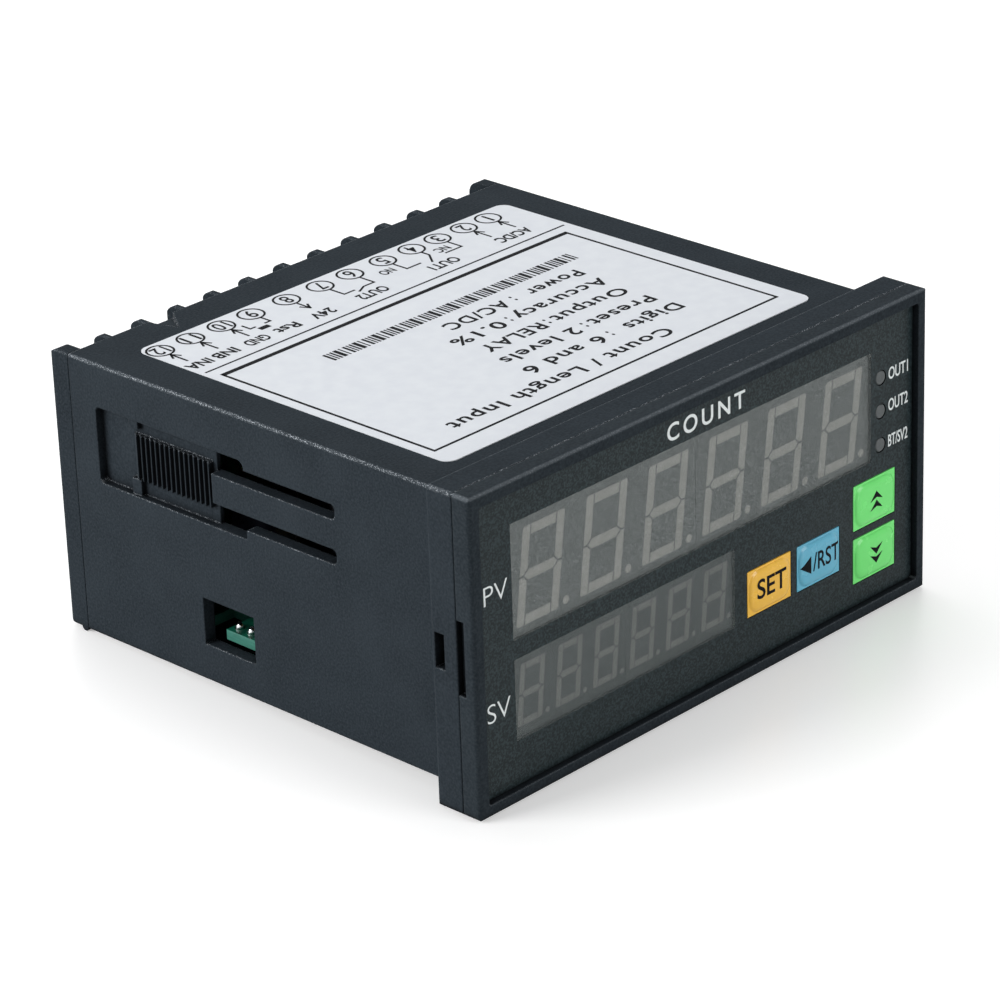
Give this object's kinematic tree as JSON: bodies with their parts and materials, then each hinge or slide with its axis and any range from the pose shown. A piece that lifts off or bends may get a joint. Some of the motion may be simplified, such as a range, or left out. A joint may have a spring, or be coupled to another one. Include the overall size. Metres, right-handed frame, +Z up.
{
  "type": "panel counter",
  "caption": "Panel-mounted digital counter with a wide flanged case, upper and lower digit rows, embossed keys, side bracket tracks and a finned row of rear screw terminals.",
  "frame": {"origin": "middle of the bezel on the plane where the flange seats on the panel", "axes": "+X right seen from the front, +Y to the back through the panel, +Z up"},
  "size_m": [0.096, 0.0868, 0.048],
  "materials": {
    "case_plastic": "fine moulded texture",
    "overlay_film": "satin printed film",
    "smoked_window": "smoked, satin",
    "display_body": "grey printed face",
    "display_segment": "unlit, milky",
    "lamp_lens": "unlit, diffused",
    "circuit_board": "solder mask",
    "black_plastic": "moulded",
    "terminal_brass": "plated",
    "plated_steel": "zinc plated",
    "ferrite": "sintered",
    "coil_tape": "polyester tape",
    "relay_case": "moulded",
    "capacitor_sleeve": "shrink sleeve",
    "label_paper": "coated label",
    "key_yellow": "gloss embossed film",
    "key_blue": "gloss embossed film",
    "key_green": "gloss embossed film"
  },
  "bodies": {
    "housing": {"case": "case_plastic", "front_frame": "case_plastic", "front_overlay": "overlay_film", "pv_window": "smoked_window", "sv_window": "smoked_window", "pv_display_left": "display_body", "pv_display_right": "display_body", "pv_segments": "display_segment", "sv_display_left": "display_body", "sv_display_right": "display_body", "sv_segments": "display_segment", "indicator_lamps": "lamp_lens", "lamp_spacers": "black_plastic", "display_board": "circuit_board", "key_switches": "black_plastic", "main_board": "circuit_board", "header_block": "black_plastic", "header_pins": "terminal_brass", "controller": "black_plastic", "transformer_core": "ferrite", "transformer_coil": "coil_tape", "relay_one": "relay_case", "relay_two": "relay_case", "filter_capacitors": "capacitor_sleeve", "terminal_board": "circuit_board", "rear_cover": "case_plastic", "terminal_tabs": "terminal_brass", "terminal_clamps": "plated_steel", "terminal_screws": "plated_steel", "rating_label": "label_paper"},
    "set_button": {"set_key": "key_yellow", "set_plunger": "black_plastic"},
    "shift_button": {"shift_key": "key_blue", "shift_plunger": "black_plastic"},
    "up_button": {"up_key": "key_green", "up_plunger": "black_plastic"},
    "down_button": {"down_key": "key_green", "down_plunger": "black_plastic"}
  },
  "joints": [
    {"name": "set_press", "type": "slide", "parent": "housing", "child": "set_button", "axis": [0, 1, 0], "range_m": [0, 0.0004], "stiffness_N_per_m": 100},
    {"name": "shift_press", "type": "slide", "parent": "housing", "child": "shift_button", "axis": [0, 1, 0], "range_m": [0, 0.0004], "stiffness_N_per_m": 100},
    {"name": "up_press", "type": "slide", "parent": "housing", "child": "up_button", "axis": [0, 1, 0], "range_m": [0, 0.0004], "stiffness_N_per_m": 100},
    {"name": "down_press", "type": "slide", "parent": "housing", "child": "down_button", "axis": [0, 1, 0], "range_m": [0, 0.0004], "stiffness_N_per_m": 100}
  ]
}
